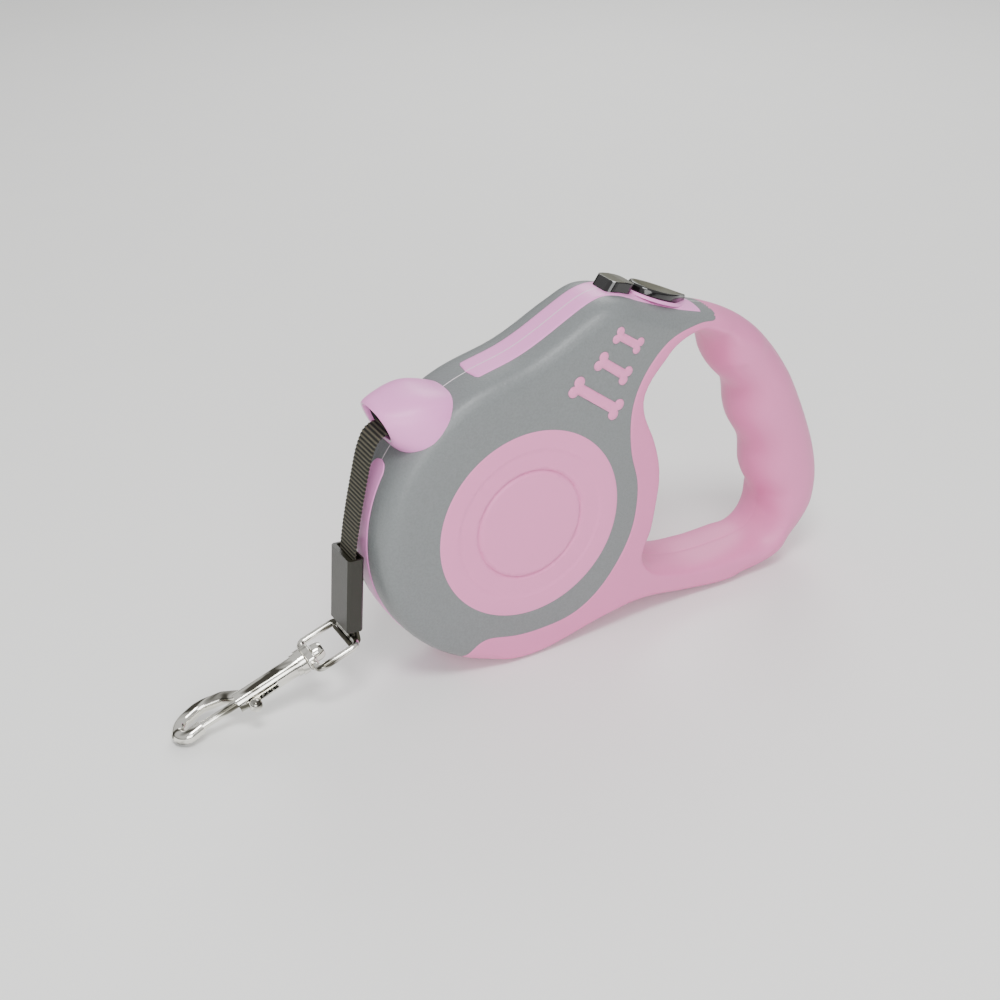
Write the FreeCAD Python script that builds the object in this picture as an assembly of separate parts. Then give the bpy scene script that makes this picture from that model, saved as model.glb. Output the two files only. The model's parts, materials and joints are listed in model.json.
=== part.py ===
import FreeCAD, Part
import math
import os

V = FreeCAD.Vector
os.makedirs("parts", exist_ok=True)

# ---------------------------------------------------------------- driving dimensions (mm)
R_DISC = 32.0          # radius of the round medallion on each side; the side profile is drawn in this unit
HALF_T = 15.0          # half the thickness of the round casing
SET_DOWN = 1.4         # degrees: turns the drawn profile so that casing and handle stand on one plane
R_EDGE = 8.0           # rounding of the casing's outer edge
SKIN = 1.2             # depth of the pink strips, medallions and bones let into the grey shells
BAND = 6.2             # half width of the pink strip on the rim

R_CAVITY = 45.5        # reel room
HALF_CAVITY = 12.6
R_REEL = 43.6          # tip of the reel's ratchet teeth
R_ROOT = 41.2          # root of the ratchet teeth
TEETH = 24
R_WOUND = 39.8         # outside of the fully wound tape
R_HUB = 15.0           # drum that the tape is wound on
TAPE_W = 11.0
TAPE_T = 0.9
R_AXLE = 3.0
FIT = 0.05             # radial running clearance on the axle

GROUND = -49.95        # level of the resting plane below the medallion's centre
BRAKE_DIR = V(-0.451, 0, -0.8925)   # the way the brake plunger is pushed, towards the reel's rim
BRAKE_TRAVEL = 2.6
LOCK_TRAVEL = 1.5

# snap lead: where the eye's bar hangs in the tape's end loop, and how far the snap leans down
LOOP = V(-58.5, 0, -28.3)
SNAP_DOWN = 18.9       # degrees below level, towards the dog's end
WIRE = 1.15            # half the thickness of the eye's wire
EYE_L, EYE_W = 14.0, 16.1   # eye, between centre lines
R_BARREL = 3.2
R_HOOK = 2.1
R_BOLT = 1.35
BOLT_TRAVEL = 7.0

c0, s0 = math.cos(math.radians(SET_DOWN)), math.sin(math.radians(SET_DOWN))


def prof(points):
    """Side-profile points in medallion radii, turned to the standing attitude, in mm (x, z)."""
    return [((x * c0 + z * s0) * R_DISC, (-x * s0 + z * c0) * R_DISC) for x, z in points]


def spline(points, y=0.0, closed=True):
    b = Part.BSplineCurve()
    b.interpolate([V(x, y, z) for x, z in points], PeriodicFlag=closed)
    return b.toShape()


def prism(edges, y0, y1):
    f = Part.Face(Part.Wire(edges))
    f.translate(V(0, y0 - f.BoundBox.YMin, 0))
    return f.extrude(V(0, y1 - y0, 0))


def poly(points, y0, y1):
    p = [V(x, y0, z) for x, z in points]
    return Part.Face(Part.makePolygon(p + [p[0]])).extrude(V(0, y1 - y0, 0))


def cyl(r, y0, y1, x=0.0, z=0.0):
    return Part.makeCylinder(r, y1 - y0, V(x, y0, z), V(0, 1, 0))


def ring(r1, r0, y0, y1, x=0.0, z=0.0):
    return cyl(r1, y0, y1, x, z).cut(cyl(r0, y0 - 1, y1 + 1, x, z))


def mirror(shape):
    return shape.mirror(V(0, 0, 0), V(0, 1, 0))


def one(shape, name):
    solids = sorted(shape.Solids, key=lambda s: -s.Volume)
    if len(solids) != 1:
        print(name, "has", len(solids), "solids", [round(s.Volume, 1) for s in solids])
    return solids[0]


# ---------------------------------------------------------------- side profile
OUTLINE = prof([
    (-0.66, 1.47), (-0.95, 1.29), (-1.22, 1.035), (-1.42, 0.74), (-1.56, 0.36), (-1.60, 0.0), (-1.56, -0.36),
    (-1.43, -0.71), (-1.20, -1.04), (-0.90, -1.295), (-0.55, -1.47), (-0.2, -1.557), (0.14, -1.564), (0.52, -1.485),
    (0.91, -1.385), (1.28, -1.345), (1.63, -1.375), (1.95, -1.44), (2.32, -1.49), (2.72, -1.50), (3.05, -1.465),
    (3.36, -1.35), (3.62, -1.13), (3.79, -0.86), (3.84, -0.55), (3.79, -0.22), (3.68, 0.10), (3.55, 0.40),
    (3.40, 0.70), (3.22, 0.98), (3.01, 1.24), (2.78, 1.45), (2.52, 1.61), (2.22, 1.725), (1.88, 1.82), (1.52, 1.94),
    (1.19, 2.06), (0.92, 2.10), (0.62, 1.99), (0.27, 1.80), (-0.05, 1.66), (-0.36, 1.575)])
HOLE = prof([
    (1.40, -0.80), (1.475, -0.55), (1.545, -0.22), (1.575, 0.08), (1.545, 0.34), (1.47, 0.58), (1.37, 0.80), (1.33, 1.02),
    (1.43, 1.22), (1.60, 1.385), (1.80, 1.51), (2.02, 1.53), (2.21, 1.43), (2.33, 1.24), (2.40, 1.02), (2.54, 0.84),
    (2.66, 0.70), (2.70, 0.50), (2.76, 0.26), (2.87, 0.08), (2.95, -0.08), (2.98, -0.30), (3.05, -0.52), (3.14, -0.68),
    (3.17, -0.87), (3.08, -1.05), (2.86, -1.14), (2.5, -1.17), (2.1, -1.16), (1.75, -1.08), (1.52, -0.97)])
# border between the grey casing and the pink skin, from the bottom round the finger opening to the top
BORDER = prof([
    (-0.74, -1.33), (-0.63, -1.23), (-0.51, -1.18), (-0.34, -1.20), (-0.13, -1.24), (0.2, -1.24), (0.49, -1.19),
    (0.78, -1.02), (1.03, -0.73), (1.2, -0.40), (1.254, -0.10), (1.24, 0.19), (1.18, 0.40), (1.14, 0.65), (1.15, 0.98),
    (1.24, 1.23), (1.45, 1.52), (1.70, 1.72), (1.95, 1.77), (2.12, 1.80), (2.10, 1.90), (1.87, 1.96)])
TOP_BORDER = prof([
    (1.87, 1.93), (1.72, 1.84), (1.45, 1.90), (1.03, 1.96), (0.82, 1.97), (0.575, 1.88), (0.30, 1.72), (0.0, 1.57),
    (-0.34, 1.455), (-0.57, 1.42)])


# ---------------------------------------------------------------- pieces of the casing
def inset(points, depth, count=72):
    """The closed profile through points, moved inwards by depth."""
    e = spline(points)
    f = e.Curve
    a, b = e.ParameterRange
    out = []
    for k in range(count):
        u = a + (b - a) * k / count
        q, t = f.value(u), f.tangent(u)[0]
        n = V(-t.z, 0, t.x)
        out.append((q.x + n.x * depth, q.z + n.z * depth))
    return out


CORE = inset(OUTLINE, SKIN)


def rim_band(y0, y1):
    """The outermost layer of the casing's rim, between two planes."""
    return prism([spline(OUTLINE)], y0, y1).cut(prism([spline(CORE)], y0 - 1, y1 + 1))


half = prism([spline(OUTLINE)], -HALF_T, 0)
half = half.makeFillet(R_EDGE, [e for e in half.Edges
                                if abs(e.BoundBox.YMin + HALF_T) < 1e-3 and abs(e.BoundBox.YMax + HALF_T) < 1e-3])
half = half.cut(prism([spline(HOLE)], -HALF_T - 1, 1))
half = half.cut(Part.makeBox(400, 60, 20, V(-100, -30, GROUND - 20)))      # the two flats it stands on

# the reel room, the room for the brake plunger, and the hollow of the handle
room = cyl(R_CAVITY, -HALF_CAVITY, 0.5)
works = poly([(16, 40), (20, 52.5), (27, 58.5), (36, 60.5), (44, 57.5), (52, 53), (46, 47.5), (40.5, 42.5),
              (38.6, 36), (36, 27)], -HALF_CAVITY + 1.6, 0.5)
handle_room = poly(prof([(2.72, 1.16), (2.93, 0.92), (3.13, 0.60), (3.31, 0.24), (3.46, -0.12), (3.56, -0.5), (3.50, -0.74),
                         (3.36, -0.72), (3.22, -0.46), (3.16, -0.22), (3.12, 0.04), (3.0, 0.22), (2.93, 0.45),
                         (2.86, 0.70), (2.74, 0.88), (2.62, 1.06)]), -HALF_T + 4.0, 0.5)

# the nose: a rounded spout that the tape leaves through
NOSE = prof([(-0.58, 1.52), (-0.90, 1.475), (-1.15, 1.425), (-1.33, 1.35), (-1.40, 1.25), (-1.385, 1.10), (-1.33, 0.985),
             (-1.22, 0.95), (-1.10, 1.00), (-0.86, 1.16), (-0.66, 1.32)])
MOUTH_Z = 39.6
nose = prism([spline(NOSE)], -12.0, 12.0)
end_view = Part.makeBox(60, 24.0, 20.5, V(-60, -12.0, 28.5))
nose = nose.common(end_view.makeFillet(7.0, [e for e in end_view.Edges if e.BoundBox.XLength > 50]))
slot = Part.makeBox(60, 13.4, 7.4, V(-60, -6.7, MOUTH_Z - 3.7))
slot = slot.makeFillet(3.4, [e for e in slot.Edges if e.BoundBox.XLength > 50])
nose_cap = one(nose.cut(slot).cut(room).cut(mirror(room)), "nose_cap")

# the pink zone's prism: everything behind the border
left_edge = [V(x, 0, z) for x, z in BORDER]
far = [V(*p) for p in ((66.0, 0, 90), (150, 0, 90), (150, 0, -80), (-26, 0, -80))]
zone_edges = [spline(BORDER, closed=False)]
chain = [left_edge[-1]] + far + [left_edge[0]]
for a, b in zip(chain, chain[1:]):
    zone_edges.append(Part.LineSegment(a, b).toShape())
zone = prism(zone_edges, -HALF_T - 1, 0.5)

# pads and their pocket, in the slope of the top
PAD_AT = V(53.0, 0, 58.6)            # middle of the thumb pad's underside
along = V(0.917, 0, -0.399)          # down the slope, towards the hand
up = V(0.399, 0, 0.917)


def on_slope(shape, at):
    """Puts a shape drawn with X towards the hand and Z up onto the slope of the casing's top."""
    m = FreeCAD.Matrix(along.x, 0, up.x, at.x, 0, 1, 0, at.y, along.z, 0, up.z, at.z, 0, 0, 0, 1)
    return shape.transformed(m)


def leaf(length, width, low, high, nose_share=0.40):
    """Plan of the thumb pad: broad at the front, pointed towards the hand."""
    a, b, w = -length * nose_share, length * (1 - nose_share), width / 2
    pts = [V(b, 0, low), V(b * 0.55, w * 0.62, low), V(0, w * 0.97, low), V(a * 0.62, w * 0.86, low), V(a, w * 0.25, low)]
    e = [Part.BSplineCurve(), None]
    e[0].interpolate(pts)
    lower = [V(p.x, -p.y, p.z) for p in pts]
    f = Part.BSplineCurve()
    f.interpolate(lower)
    wire = Part.Wire([e[0].toShape(), Part.LineSegment(pts[-1], lower[-1]).toShape(), f.toShape()])
    return Part.Face(wire).extrude(V(0, 0, high - low))


pad = on_slope(leaf(22.0, 14.0, 0.0, 4.2), PAD_AT)
pocket = on_slope(leaf(25.5, 17.0, -4.2, 12.0), PAD_AT - along * 0.6)
LOCK_AT = V(36.6, 0, 64.6)
lock_tilt = V(0.24, 0, 0.97)


def on_crown(shape, at):
    a = V(0.97, 0, -0.24)
    return shape.transformed(FreeCAD.Matrix(a.x, 0, lock_tilt.x, at.x, 0, 1, 0, at.y, a.z, 0, lock_tilt.z, at.z, 0, 0, 0, 1))


lock_slot = on_crown(Part.makeBox(7.6, 5.0, 12.0, V(-3.0, -2.5, -10.0)), LOCK_AT)
lock_seat = on_crown(Part.makeBox(15.0, 13.0, 8.0, V(-6.2, -6.5, -2.0)), LOCK_AT)

# plunger's way through the casing
PL_TOP = V(46.4, 0, 61.6)
PL_LEN = 33.6
side = V(-BRAKE_DIR.z, 0, BRAKE_DIR.x)        # across the plunger, in the profile's plane


def along_plunger(t0, t1, w, h):
    """A bar from t0 to t1 along the plunger, w across in the profile's plane and h thick."""
    p = [PL_TOP + BRAKE_DIR * t0 - side * (w / 2), PL_TOP + BRAKE_DIR * t0 + side * (w / 2),
         PL_TOP + BRAKE_DIR * t1 + side * (w / 2), PL_TOP + BRAKE_DIR * t1 - side * (w / 2)]
    return poly([(q.x, q.z) for q in p], -h / 2, h / 2)


plunger_way = along_plunger(-2, 40, 7.0, 7.0)

SCREWS = [(39.5, -33.5), (73.5, -43.9), (104.0, -37.5), (78.2, 43.4), (10.5, 51.0)]


def cut_all(shape, *tools):
    for t in tools:
        shape = shape.cut(t)
    return shape


strips = {}
top_zone = poly([(-9.0, 44), (-15.5, 58), (-15, 90), (66.0, 90), (66.0, 58.0), (60, 40), (30, 50), (8, 46)], -BAND, 0)
front_zone = poly([(-80, 26), (-44, 22.5), (-30, 0), (-21, -38), (-26, -80), (-80, -80)], -BAND, 0)
rim_skin = rim_band(-BAND, 0)
print('rim', round(rim_skin.Volume), rim_skin.isValid())
top_strip = one(cut_all(rim_skin.common(top_zone), zone, pocket, lock_seat, lock_slot, plunger_way), "top_strip")
front_strip = one(cut_all(rim_skin.common(front_zone), zone, nose, Part.makeBox(400, 60, 20, V(-100, -30, GROUND - 20))), "front_strip")

disc = cyl(R_DISC, -HALF_T, -HALF_T + SKIN).cut(ring(0.794 * R_DISC, 0.575 * R_DISC, -HALF_T - 1, -HALF_T + 0.5))
disc_seat = cyl(R_DISC, -HALF_T - 1, -HALF_T + SKIN)


def bone(p, q, scale):
    """A bar with two lobes at each end, between two points of the profile."""
    (x0, z0), (x1, z1) = p, q
    L = math.hypot(x1 - x0, z1 - z0)
    ux, uz = (x1 - x0) / L, (z1 - z0) / L
    r, hw = 2.1 * scale, 1.45 * scale
    bar = poly([(x0 - uz * hw, z0 + ux * hw), (x1 - uz * hw, z1 + ux * hw), (x1 + uz * hw, z1 - ux * hw), (x0 + uz * hw, z0 - ux * hw)],
               -HALF_T, -HALF_T + SKIN)
    for x, z, d in ((x0, z0, -1), (x1, z1, 1)):
        for k in (-1, 1):
            bar = bar.fuse(cyl(r, -HALF_T, -HALF_T + SKIN, x - uz * k * r * 0.92 + ux * d * r * 0.25, z + ux * k * r * 0.92 + uz * d * r * 0.25))
    return bar.removeSplitter()


ends = [prof([(0.47, 1.37), (0.97, 1.00)]), prof([(0.74, 1.58), (1.07, 1.335)]), prof([(0.94, 1.80), (1.205, 1.62)])]
bones = [bone(*e, k) for e, k in zip(ends, (1.0, 0.86, 0.74))]
bone_seats = [b.copy() for b in bones]

boss = cyl(6.5, -HALF_CAVITY, -8.0)
axle_hole = cyl(R_AXLE, -HALF_T + SKIN, 1)
tools_inside = [room, works, slot, plunger_way, pocket, lock_slot, lock_seat]

pins = [Part.makeCylinder(1.2, 22.8, V(-31.6, -11.4, z), V(0, 1, 0)) for z in (41.9, 37.6)]
pilots = [cyl(1.5, -9.5, 0.5, x, z) for x, z in SCREWS]
plain = cut_all(half, disc_seat, *bone_seats, *pilots, room, works, plunger_way, pocket, lock_slot, lock_seat, slot, handle_room)
plain = plain.fuse(boss).cut(axle_hole)
ledge = along_plunger(15.2, 16.6, 12.0, 12.0).cut(along_plunger(14, 18, 5.2, 5.8)).cut(plain).cut(mirror(plain))
shell = cut_all(plain, zone)
grip = plain.common(zone)
print("after zone", round(plain.Volume), round(shell.Volume), round(grip.Volume), shell.isValid(), grip.isValid())
for tool, label in ((front_strip, "front"), (top_strip, "top"), (nose, "nose")):
    before = shell.Volume
    shell = shell.cut(tool)
    print("cut", label, round(before - shell.Volume, 1), shell.isValid())
for pin in pins:
    shell = shell.cut(pin)
print("shell", [round(s.Volume) for s in shell.Solids], "grip", [round(s.Volume) for s in grip.Solids])

shell_left, grip_left = one(shell, "shell"), one(grip, "grip")
shell_right, grip_right = mirror(shell_left), mirror(grip_left)

# right side: no long boss, because the spring case is there; the screws' heads sit in counterbores
shell_right = shell_right.cut(ring(7.0, R_AXLE, 7.0, HALF_CAVITY))
bores, screws = [], []
for x, z in SCREWS:
    bores.append(cyl(1.75, -0.5, HALF_T + 1, x, z).fuse(cyl(3.1, HALF_T - 7.0, HALF_T + 1, x, z)))
    body = cyl(1.5, -9.5, HALF_T - 7.0, x, z).fuse(cyl(2.8, HALF_T - 7.0, HALF_T - 5.0, x, z))
    cross = Part.makeBox(3.6, 1.2, 0.8, V(x - 1.8, HALF_T - 6.2, z - 0.4)).fuse(Part.makeBox(0.8, 1.2, 3.6, V(x - 0.4, HALF_T - 6.2, z - 1.8)))
    screws.append(body.cut(cross))
shell_right, grip_right = cut_all(shell_right, *bores), cut_all(grip_right, *bores)

# ---------------------------------------------------------------- reel
pitch = 360.0 / TEETH
gap_at = math.degrees(math.atan2((PL_TOP + BRAKE_DIR * PL_LEN).z, (PL_TOP + BRAKE_DIR * PL_LEN).x))
teeth = []
for k in range(TEETH):
    a = math.radians(gap_at + k * pitch)
    for r, d in ((R_ROOT, -3.6), (R_ROOT, 3.6), (R_REEL, 5.2), (R_REEL, 9.0)):
        teeth.append((r * math.cos(a + math.radians(d)), r * math.sin(a + math.radians(d))))
ratchet = poly(teeth, -7.4, -5.9)
reel = ratchet.fuse(cyl(R_HUB, -5.9, 5.9)).fuse(cyl(8.0, -7.6, -7.4)).cut(cyl(R_AXLE + FIT, -9, 9)).removeSplitter()
reel_flange = cyl(R_REEL, 5.9, 7.3).cut(cyl(R_AXLE + 1.0, 5, 8))
spring_case = ring(30.0, 28.6, 7.3, 11.3)
spring_cover = ring(30.0, R_AXLE + 2.8, 11.3, 12.1)
wound_tape = ring(R_WOUND, R_HUB, -TAPE_W / 2, TAPE_W / 2)
axle = cyl(R_AXLE, -HALF_T + SKIN, HALF_T - SKIN)
arbor = ring(5.0, R_AXLE, 7.6, 11.0)


def spiral(r0, pitch, turns, t, y0, y1):
    """A flat strip wound as half circles on two centres, each half circle larger than the last."""
    inner, outer, r, cx, sgn = [], [], r0, 0.0, 1
    for k in range(int(turns * 2)):
        for lst, rr in ((inner, r - t / 2), (outer, r + t / 2)):
            a, m, b = V(cx + sgn * rr, y0, 0), V(cx, y0, sgn * rr), V(cx - sgn * rr, y0, 0)
            lst.append(Part.Arc(a, m, b).toShape())
        grow = pitch / 2
        cx += sgn * grow / 1.0 * 1.0
        r += grow
        sgn = -sgn
    s0, s1 = outer[0].Vertexes[0].Point, inner[0].Vertexes[0].Point
    caps = [Part.LineSegment(V(r0 - t / 2, y0, 0), V(r0 + t / 2, y0, 0)).toShape()]
    last = -1 if int(turns * 2) % 2 else 1
    rr, c_last = r - pitch / 2, cx + sgn * pitch / 2
    end_in, end_out = V(c_last + sgn * (rr - t / 2), y0, 0), V(c_last + sgn * (rr + t / 2), y0, 0)
    caps.append(Part.LineSegment(end_in, end_out).toShape())
    return Part.Face(Part.Wire(Part.sortEdges(inner + outer + caps)[0])).extrude(V(0, y1 - y0, 0))


power_spring = spiral(5.9, 1.5, 14, 0.6, 7.7, 10.9)

# ---------------------------------------------------------------- brake and lock
tip = [PL_TOP + BRAKE_DIR * t + side * w for t, w in ((0.5, -2.2), (0.5, 2.2), (PL_LEN - 4, 2.2), (PL_LEN, 1.2), (PL_LEN, -1.2), (PL_LEN - 4, -2.2))]
plunger = poly([(q.x, q.z) for q in tip], -2.5, 2.5)
# its foot reaches sideways over the toothed flange
foot = poly([(q.x, q.z) for q in tip[2:]], -7.2, -2.5)
foot_zone = along_plunger(PL_LEN - 3.4, PL_LEN + 1, 12, 40)
plunger = plunger.fuse(foot).removeSplitter()
brake_pad = pad
# the pad's neck joins it to the plunger below
neck = along_plunger(-4.0, 1.2, 4.4, 5.0).cut(pad)
neck = one(neck.common(on_slope(Part.makeBox(40, 20, 12, V(-20, -10, -12)), PAD_AT)), "neck")
plunger = one(plunger.cut(pad).fuse(neck).removeSplitter(), "plunger")
lock_body = on_crown(Part.makeBox(4.4, 4.4, 7.0, V(-2.6, -2.2, -8.6)), LOCK_AT)
lock_button = on_crown(poly([(-5.6, -1.6), (5.0, -1.6), (6.6, 4.4), (-2.6, 4.8)], -6.0, 6.0), LOCK_AT)
lock_button = one(lock_button, "lock_button")
lock_catch = one(lock_body.cut(lock_button), "lock_catch")


def helix(r, pitch, turns, wire, at, axis):
    """A compression spring, its coil's centre line r from the axis."""
    h = Part.makeHelix(pitch, pitch * turns, r)
    c = Part.Wire([Part.Circle(V(r, 0, 0), V(0, 1, 0), wire).toShape()])
    s = Part.Wire(h.Edges).makePipeShell([c], True, True)
    s = Part.Solid(s) if s.ShapeType == "Shell" else s
    rot = FreeCAD.Rotation(V(0, 0, 1), axis)
    s.Placement = FreeCAD.Placement(at, rot)
    return s




def coil(r, pitch, turns, wire, at, axis, n=12):
    """A compression spring as short lengths of wire round its axis, rounded where they meet."""
    pts = [V(r * math.cos(2 * math.pi * i / n), r * math.sin(2 * math.pi * i / n), pitch * i / n) for i in range(int(turns * n) + 1)]
    lengths = [Part.makeCylinder(wire, (b - a).Length, a, b - a) for a, b in zip(pts, pts[1:])]
    knees = [Part.makeSphere(wire, p) for p in pts[1:]]
    s = Part.makeSphere(wire, pts[0]).multiFuse(lengths + knees).Solids[0]
    s.Placement = FreeCAD.Placement(at, FreeCAD.Rotation(V(0, 0, 1), axis))
    return s


brake_spring = coil(4.3, 1.6, 4.5, 0.4, PL_TOP + BRAKE_DIR * 7.3, BRAKE_DIR)
spring_ledge = one(ledge, "spring_ledge")

# ---------------------------------------------------------------- tape, sleeve, end loop
SLEEVE_TOP, SLEEVE_END = V(-56.0, 0, 0.5), V(-58.2, 0, -24.6)
TAPE_ROUTE = [(-38.5, 39.6), (-44.6, 39.4), (-48.2, 33.2), (-50.6, 24.2), (-53.6, 12.4), (-56.0, 0.5), (-57.3, -12.5), (-58.2, -26.8)]


def strip(route, t, w, radii=None, first=None):
    """A flat tape standing on edge: straight runs joined by tangent arcs, thickness t, width w. Returns (solid, length)."""
    P = [V(x, 0, z) for x, z in route]
    segs, length, start = [], 0.0, P[0]
    for i in range(1, len(P) - 1):
        a, b = P[i - 1] - P[i], P[i + 1] - P[i]
        la, lb = a.Length, b.Length
        a.normalize(), b.normalize()
        turn = math.pi - a.getAngle(b)
        r = radii[i - 1] if radii else 0.45 * min(la, lb) / math.tan(turn / 2)
        k = r * math.tan(turn / 2)
        t0, t1 = P[i] + a * k, P[i] + b * k
        n = (a + b).normalize()
        c = P[i] + n * (r / math.cos(turn / 2))
        m = c - n * r
        segs.append(("line", start, t0))
        segs.append(("arc", t0, m, t1, c, r))
        length += (t0 - start).Length + r * turn
        start = t1
        print("tape bend", i, "radius", round(r, 1), "turn", round(math.degrees(turn)))
    segs.append(("line", start, P[-1]))
    length += (P[-1] - start).Length
    out = None
    for s in segs:
        if s[0] == "line":
            d = (s[2] - s[1])
            if d.Length < 1e-6:
                continue
            d.normalize()
            n = V(-d.z, 0, d.x) * (t / 2)
            f = Part.Face(Part.makePolygon([s[1] + n, s[2] + n, s[2] - n, s[1] - n, s[1] + n]))
        else:
            _, p, m, q, c, r = s
            o = [c + (x - c) * ((r + t / 2) / r) for x in (p, m, q)]
            i = [c + (x - c) * ((r - t / 2) / r) for x in (p, m, q)]
            f = Part.Face(Part.Wire([Part.Arc(*o).toShape(), Part.LineSegment(o[2], i[2]).toShape(), Part.Arc(*i[::-1]).toShape(),
                                     Part.LineSegment(i[0], o[0]).toShape()]))
        f.translate(V(0, -w / 2, 0))
        s = f.extrude(V(0, w, 0))
        out = s if out is None else out.fuse(s)
    return out.removeSplitter(), length


tape, tape_len = strip(TAPE_ROUTE, TAPE_T, TAPE_W)
tape = one(tape, "tape")
print("tape length", round(tape_len, 1), "volume / section", round(tape.Volume / TAPE_T / TAPE_W, 1))

sl_dir = (SLEEVE_END - SLEEVE_TOP).normalize()
sl_nrm = V(-sl_dir.z, 0, sl_dir.x)


def at_sleeve(shape):
    """Drawn with Z down the sleeve from its top, X across its thickness, Y across its width."""
    return shape.transformed(FreeCAD.Matrix(sl_nrm.x, 0, sl_dir.x, SLEEVE_TOP.x, 0, 1, 0, 0, sl_nrm.z, 0, sl_dir.z, SLEEVE_TOP.z, 0, 0, 0, 1))


SL = (SLEEVE_END - SLEEVE_TOP).Length
box = Part.makeBox(5.4, 13.2, SL, V(-2.7, -6.6, 0))
box = box.makeChamfer(0.8, [e for e in box.Edges if e.BoundBox.ZLength > 5])
way = Part.makeBox(3.4, 11.6, SL + 2, V(-1.2, -5.8, -1))
sleeve = one(at_sleeve(box.cut(way)), "sleeve")
# the end loop: back leg inside the sleeve, then round the eye's bar
bar_at = LOOP
leg_x = 1.25
r_loop = WIRE + 0.25 + TAPE_T / 2
top_leg = SLEEVE_TOP + sl_dir * 7.0 + sl_nrm * 1.15
end_leg = SLEEVE_TOP + sl_dir * (SL + 0.2) + sl_nrm * 1.15
u0 = bar_at + sl_nrm * r_loop
u1 = bar_at - sl_nrm * r_loop
um = bar_at + sl_dir * r_loop


def band_piece(edges_centre, t, w):
    out = None
    for kind, *q in edges_centre:
        if kind == "line":
            d = (q[1] - q[0]).normalize()
            n = V(-d.z, 0, d.x) * (t / 2)
            f = Part.Face(Part.makePolygon([q[0] + n, q[1] + n, q[1] - n, q[0] - n, q[0] + n]))
        else:
            p, m, e, c, r = q
            o = [c + (x - c) * ((r + t / 2) / r) for x in (p, m, e)]
            i = [c + (x - c) * ((r - t / 2) / r) for x in (p, m, e)]
            f = Part.Face(Part.Wire([Part.Arc(*o).toShape(), Part.LineSegment(o[2], i[2]).toShape(), Part.Arc(*i[::-1]).toShape(),
                                     Part.LineSegment(i[0], o[0]).toShape()]))
        f.translate(V(0, -w / 2, 0))
        s = f.extrude(V(0, w, 0))
        out = s if out is None else out.fuse(s)
    return out.removeSplitter()


end_loop = band_piece([("line", top_leg, end_leg), ("line", end_leg, u0), ("arc", u0, um, u1, bar_at, r_loop)], TAPE_T, TAPE_W)
end_loop = one(end_loop.cut(tape), "end_loop")
inner_tape = one(strip([(-1.2, 40.6), (-20.0, 40.05), (-38.5, 39.6)], TAPE_T, TAPE_W)[0].cut(tape), "inner_tape")

# ---------------------------------------------------------------- eye, swivel and snap hook
phi = math.radians(SNAP_DOWN)
a_dir = V(-math.cos(phi), 0, -math.sin(phi))
n_dir = V(-math.sin(phi), 0, math.cos(phi))


def at_snap(shape):
    """Drawn with X down the snap from the bar in the tape, Y across, Z up off the ground."""
    return shape.transformed(FreeCAD.Matrix(a_dir.x, 0, n_dir.x, LOOP.x, 0, 1, 0, 0, a_dir.z, 0, n_dir.z, LOOP.z, 0, 0, 0, 1))


def rod(points, r, bends):
    """A round bar: straight runs joined by tangent arcs of the given radii."""
    P = [V(*p) for p in points]
    out, start = None, P[0]

    def add(s):
        nonlocal out
        out = s if out is None else out.fuse(s)
    for i in range(1, len(P) - 1):
        a, b = (P[i - 1] - P[i]).normalize(), (P[i + 1] - P[i]).normalize()
        turn = math.pi - a.getAngle(b)
        k = bends[i - 1] * math.tan(turn / 2)
        t0, t1 = P[i] + a * k, P[i] + b * k
        n = (a + b).normalize()
        c = P[i] + n * (bends[i - 1] / math.cos(turn / 2))
        if (t0 - start).Length > 1e-4:
            add(Part.makeCylinder(r, (t0 - start).Length, start, t0 - start))
        f = Part.Face(Part.Wire([Part.Circle(t0, a, r).toShape()]))
        ax = (t0 - c).cross(t1 - c).normalize()
        add(f.revolve(c, ax, math.degrees(turn)))
        start = t1
    add(Part.makeCylinder(r, (P[-1] - start).Length, start, P[-1] - start))
    return out


w2 = EYE_W / 2
eye = rod([(0, 0, 0), (0, w2, 0), (EYE_L, w2, 0), (EYE_L, -w2, 0), (0, -w2, 0), (0, 0.0, 0)], WIRE, [2.0] * 4)
yoke = Part.makeBox(3.2, 9.0, 4.6, V(EYE_L - 1.6, -4.5, -2.3))
yoke = yoke.makeFillet(0.9, yoke.Edges)
eye = eye.cut(yoke.copy()).fuse(yoke).cut(Part.makeCylinder(1.65, 10, V(EYE_L - 5, 0, 0), V(1, 0, 0)))
eye_ring = one(at_snap(eye.removeSplitter()), "eye_ring")
head = Part.makeCylinder(2.9, 1.2, V(EYE_L - 3.0, 0, 0), V(1, 0, 0)).fuse(Part.makeSphere(2.9, V(EYE_L - 3.0, 0, 0)).common(Part.makeBox(1.9, 8, 8, V(EYE_L - 4.9, -4, -4))))
post = Part.makeCylinder(1.6, 5.0, V(EYE_L - 1.8, 0, 0), V(1, 0, 0))
swivel_rivet = one(at_snap(head.fuse(post).removeSplitter()), "swivel_rivet")
S0 = EYE_L + 1.75
barrel = Part.makeCylinder(4.1, 2.0, V(S0, 0, 0), V(1, 0, 0)).fuse(Part.makeCylinder(3.6, 1.6, V(S0 + 1.9, 0, 0), V(1, 0, 0)))
barrel = barrel.fuse(Part.makeCylinder(R_BARREL, 22.3, V(S0 + 2, 0, 0), V(1, 0, 0)))
S1 = S0 + 24.3
hook = rod([(S1 - 3.0, 1.3, 0), (S1 + 2.5, 6.2, 0), (S1 + 10.0, 8.6, 0), (S1 + 17.5, 6.6, 0), (S1 + 20.6, 1.6, 0), (S1 + 17.4, -0.9, 0),
            (S1 + 12.6, -0.2, 0)], R_HOOK, [3.6, 8.0, 6.0, 3.0, 2.4])
snap = barrel.fuse(hook)
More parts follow.
